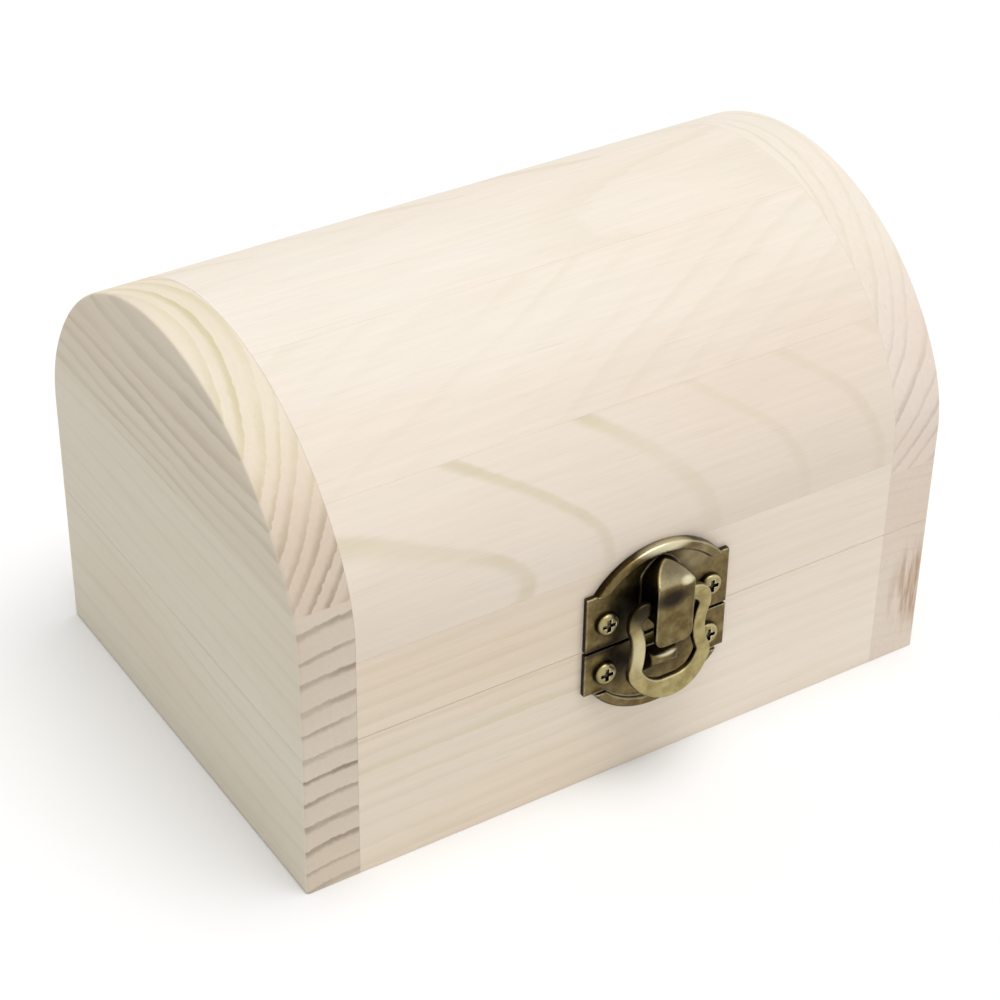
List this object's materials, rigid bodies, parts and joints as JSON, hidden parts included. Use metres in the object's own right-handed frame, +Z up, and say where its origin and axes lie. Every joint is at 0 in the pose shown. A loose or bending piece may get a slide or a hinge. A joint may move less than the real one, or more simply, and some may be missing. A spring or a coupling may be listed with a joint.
{
  "type": "treasure chest box",
  "caption": "Small wooden keepsake chest with a hinged barrel lid of staves, butt hinges at the back and a swinging hasp loop over a catch at the front.",
  "frame": {"origin": "middle of the underside", "axes": "+X along the box to the right seen from the front, -Y out of the front with the hasp, +Z up"},
  "size_m": [0.12, 0.093, 0.081],
  "materials": {
    "pine": "bare sanded pine with fine grain",
    "plywood": "bare thin plywood",
    "antique_bronze": "antique bronze plating, rubbed bright on its edges and dark in its hollows",
    "screw_bronze": "antique bronze plated steel"
  },
  "bodies": {
    "base": {"base_left_end": "pine", "base_right_end": "pine", "base_front_board": "pine", "base_back_board": "pine", "bottom_panel": "plywood", "catch_plate": "antique_bronze", "catch_plate_screws": "screw_bronze", "hinge_left_base_leaf": "antique_bronze", "hinge_right_base_leaf": "antique_bronze", "hinge_base_screws": "screw_bronze", "hinge_left_pin": "screw_bronze", "hinge_right_pin": "screw_bronze"},
    "lid": {"lid_left_end": "pine", "lid_right_end": "pine", "lid_front_rail": "pine", "lid_back_rail": "pine", "lid_stave_front_lower": "pine", "lid_stave_front_upper": "pine", "lid_stave_crown": "pine", "lid_stave_back_upper": "pine", "lid_stave_back_lower": "pine", "hasp_plate": "antique_bronze", "hasp_plate_screws": "screw_bronze", "hinge_left_lid_leaf": "antique_bronze", "hinge_right_lid_leaf": "antique_bronze", "hinge_lid_screws": "screw_bronze"},
    "loop": {"hasp_loop": "antique_bronze"}
  },
  "joints": [
    {"name": "lid_hinge", "type": "hinge", "parent": "base", "child": "lid", "pos_m": [0, 0.04355, 0.0269], "axis": [-1, 0, 0], "range_deg": [0, 140]},
    {"name": "hasp_swing", "type": "hinge", "parent": "lid", "child": "loop", "pos_m": [0.0035, -0.04575, 0.0345], "axis": [-1, 0, 0], "range_deg": [0, 165]}
  ]
}
